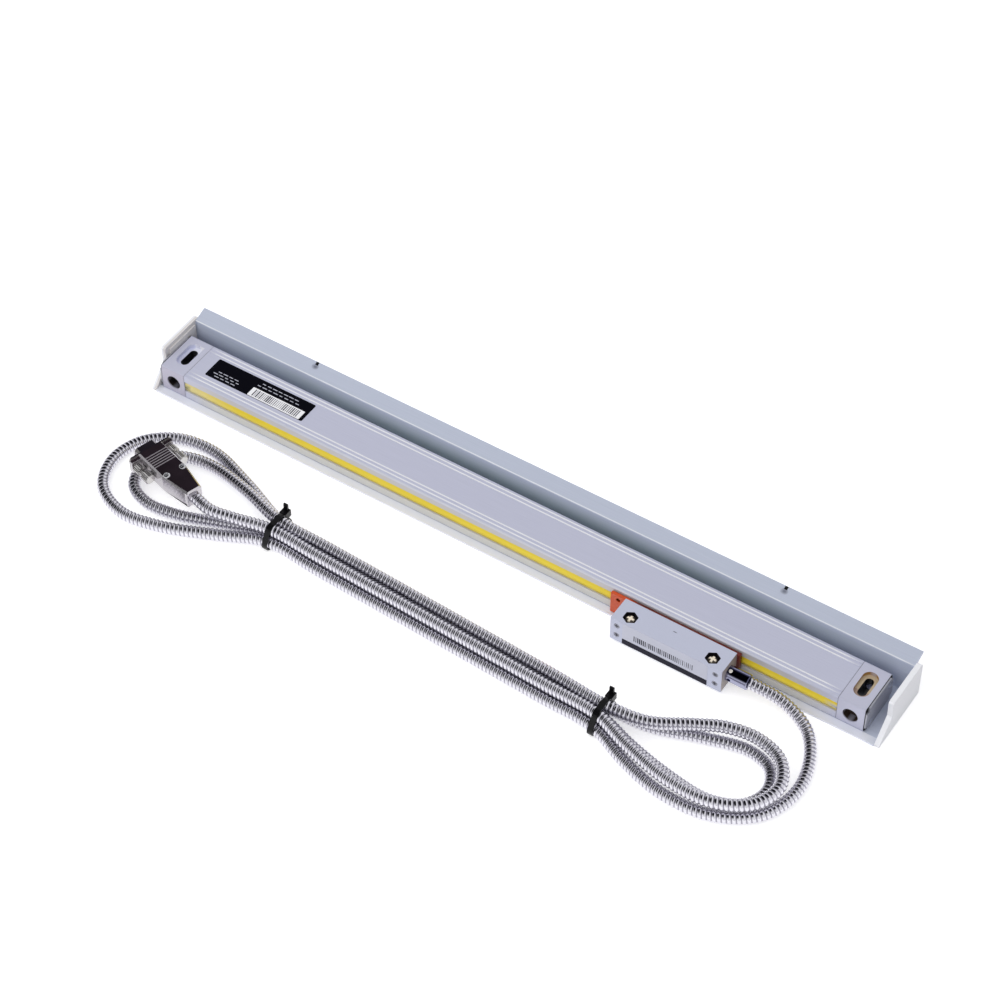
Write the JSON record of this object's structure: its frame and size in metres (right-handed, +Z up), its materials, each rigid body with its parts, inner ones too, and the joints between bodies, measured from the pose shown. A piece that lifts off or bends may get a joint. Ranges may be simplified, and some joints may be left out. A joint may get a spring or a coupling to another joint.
{
  "type": "linear glass scale",
  "caption": "Linear glass scale with reading head, seal lips, cover channel, armoured lead and a nine-way plug.",
  "frame": {"origin": "on the resting plane, under the front face of the scale body, at mid length", "axes": "+X along the scale towards the end where the lead leaves the head, +Y to the back wall of the cover channel, +Z up"},
  "size_m": [0.5269, 0.1572, 0.0302],
  "materials": {
    "anodised_body": "satin",
    "block_alloy": "satin",
    "channel_alloy": "satin",
    "cap_plastic": "matte",
    "black_rubber": "matte",
    "yellow_rubber": "satin",
    "clear_glass": "polished",
    "bond_strip": "matte",
    "steel": "satin",
    "carriage_alloy": "satin",
    "circuit_board": "gloss",
    "head_alloy": "satin",
    "orange_plastic": "satin",
    "bright_chrome": "polished",
    "armour_steel": "satin",
    "black_nylon": "satin",
    "dark_nickel": "polished",
    "bright_nickel": "satin",
    "black_plastic": "matte",
    "contact_brass": "satin"
  },
  "bodies": {
    "root": {"cover_channel": "channel_alloy", "cap_left": "cap_plastic", "cap_right": "cap_plastic", "housing": "anodised_body", "end_block_left": "block_alloy", "end_block_right": "block_alloy", "joint_gasket_left": "black_rubber", "joint_gasket_right": "black_rubber", "end_gasket_left": "black_rubber", "end_gasket_right": "black_rubber", "end_plate_left": "block_alloy", "end_plate_right": "block_alloy", "end_screws": "steel", "lip_upper": "yellow_rubber", "lip_lower": "yellow_rubber", "glass_scale": "clear_glass", "glass_strip": "bond_strip"},
    "reader": {"carriage": "carriage_alloy", "roller_pins": "steel", "reticle": "clear_glass", "detector_board": "circuit_board", "lamp_board": "circuit_board", "coupling_spring": "steel", "spring_screws": "steel", "coupling_block": "carriage_alloy", "block_screws": "steel", "arm": "steel", "arm_screws": "steel", "head_body": "head_alloy", "head_board": "circuit_board", "board_screws": "steel", "head_cover": "head_alloy", "head_cover_screws": "steel", "head_screws": "steel", "gland": "bright_chrome", "transport_bracket": "orange_plastic", "cable": "armour_steel", "tie_left": "black_nylon", "tie_right": "black_nylon", "hood_lower": "dark_nickel", "hood_upper": "dark_nickel", "hood_screws": "bright_nickel", "plug_shell": "bright_nickel", "plug_insulator": "black_plastic", "plug_sockets": "contact_brass"},
    "face_wheel_left": {"face_roller_left": "steel"},
    "face_wheel_middle": {"face_roller_middle": "steel"},
    "face_wheel_right": {"face_roller_right": "steel"},
    "edge_wheel_left": {"edge_roller_left": "steel"},
    "edge_wheel_right": {"edge_roller_right": "steel"},
    "front_jack": {"jackscrew_front": "bright_nickel"},
    "back_jack": {"jackscrew_back": "bright_nickel"}
  },
  "joints": [
    {"name": "reader_slide", "type": "slide", "parent": "root", "child": "reader", "axis": [1, 0, 0], "range_m": [-0.321, 0.055]},
    {"name": "face_wheel_left_spin", "type": "hinge", "parent": "reader", "child": "face_wheel_left", "pos_m": [0.111, 0.0189, 0.0136], "axis": [0, 0, 1], "continuous": true},
    {"name": "face_wheel_middle_spin", "type": "hinge", "parent": "reader", "child": "face_wheel_middle", "pos_m": [0.133, 0.0189, 0.011], "axis": [0, 0, 1], "continuous": true},
    {"name": "face_wheel_right_spin", "type": "hinge", "parent": "reader", "child": "face_wheel_right", "pos_m": [0.155, 0.0189, 0.0136], "axis": [0, 0, 1], "continuous": true},
    {"name": "edge_wheel_left_spin", "type": "hinge", "parent": "reader", "child": "edge_wheel_left", "pos_m": [0.119, 0.024, 0.0069], "axis": [0, 1, 0], "continuous": true},
    {"name": "edge_wheel_right_spin", "type": "hinge", "parent": "reader", "child": "edge_wheel_right", "pos_m": [0.147, 0.024, 0.0069], "axis": [0, 1, 0], "continuous": true},
    {"name": "front_jack_turn", "type": "hinge", "parent": "reader", "child": "front_jack", "pos_m": [-0.21604, -0.07386, 0.0148], "axis": [0.9573, -0.289, 0], "continuous": true},
    {"name": "back_jack_turn", "type": "hinge", "parent": "reader", "child": "back_jack", "pos_m": [-0.20881, -0.04992, 0.0148], "axis": [0.9573, -0.289, 0], "continuous": true}
  ],
  "couplings": [
    {"joint": "face_wheel_left_spin", "follows": "reader_slide", "rad_per_m": 333.33},
    {"joint": "face_wheel_middle_spin", "follows": "reader_slide", "rad_per_m": 333.33},
    {"joint": "face_wheel_right_spin", "follows": "reader_slide", "rad_per_m": 333.33},
    {"joint": "edge_wheel_left_spin", "follows": "reader_slide", "rad_per_m": -500},
    {"joint": "edge_wheel_right_spin", "follows": "reader_slide", "rad_per_m": -500}
  ]
}
